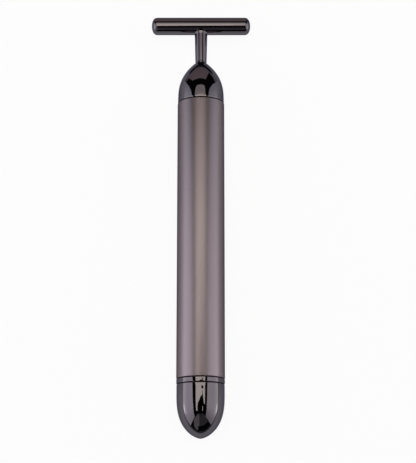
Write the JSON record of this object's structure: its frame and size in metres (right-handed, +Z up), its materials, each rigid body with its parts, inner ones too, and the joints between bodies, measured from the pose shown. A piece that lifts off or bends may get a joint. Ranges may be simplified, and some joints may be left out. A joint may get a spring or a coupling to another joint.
{
  "type": "vibrating beauty wand",
  "caption": "Straight round wand with a T-shaped vibrating massage head on a slim neck above a dome, and a rounded twist cap at its base that is switch and battery cover.",
  "frame": {"origin": "middle of the bottom of the bounding box: under the handle's axis, halfway along the wand, on the surface that it lies on", "axes": "+Y along the wand from the cap to the T head, +X along the T bar, +Z up from the surface"},
  "size_m": [0.0366, 0.1562, 0.0171],
  "materials": {
    "tube_finish": "satin pearl, taupe",
    "black_nickel": "mirror, dark gunmetal plating",
    "seal_rubber": "matte black",
    "black_moulding": "moulded black",
    "contact_brass": "bright",
    "plated_contact": "plated",
    "battery_case": null,
    "battery_jacket": "plain printed film",
    "spring_steel": "bright",
    "motor_steel": "plated steel",
    "magnet_ferrite": "dark ceramic",
    "motor_copper": "copper",
    "bush_bronze": "sintered bronze",
    "motor_plastic": "moulded white",
    "red_lead": "insulated wire",
    "black_lead": "insulated wire"
  },
  "bodies": {
    "handle": {"handle_tube": "tube_finish", "base_ferrule": "black_nickel", "cap_seal": "seal_rubber", "head_dome": "black_nickel", "stem": "black_nickel", "stem_screw": "spring_steel", "lock_washer": "spring_steel", "t_bar": "black_nickel", "contact_carrier": "black_moulding", "positive_contact": "contact_brass", "battery_spring": "spring_steel", "spacer_sleeve": "black_moulding", "ground_ring": "contact_brass", "positive_lead": "red_lead", "negative_lead": "black_lead", "motor_holder": "black_moulding", "motor_can": "motor_steel", "motor_bush": "bush_bronze", "motor_magnet": "magnet_ferrite", "motor_end_cap": "motor_plastic", "motor_brush_positive": "motor_copper", "motor_brush_negative": "motor_copper"},
    "battery": {"battery_can": "battery_case", "battery_jacket": "battery_jacket", "battery_negative_cap": "battery_case"},
    "twist_cap": {"base_cap": "black_nickel", "cap_plug": "black_moulding", "negative_contact": "plated_contact", "contact_rivet": "contact_brass"},
    "rotor": {"motor_shaft": "motor_steel", "motor_commutator": "motor_copper", "motor_armature": "motor_copper", "eccentric_weight": "motor_steel"}
  },
  "joints": [
    {"name": "battery_follow", "type": "slide", "parent": "handle", "child": "battery", "axis": [0, -1, 0], "range_m": [0, 0.0045], "deforming": ["battery_spring"]},
    {"name": "cap_twist", "type": "hinge", "parent": "battery", "child": "twist_cap", "pos_m": [0, -0.05942, 0.00857], "axis": [0, -1, 0], "range_deg": [0, 1080.1]},
    {"name": "motor_spin", "type": "hinge", "parent": "handle", "child": "rotor", "pos_m": [0, 0.04258, 0.00857], "axis": [0, 1, 0], "continuous": true}
  ],
  "couplings": [
    {"joint": "cap_twist", "follows": "battery_follow", "rad_per_m": 4188.8}
  ]
}
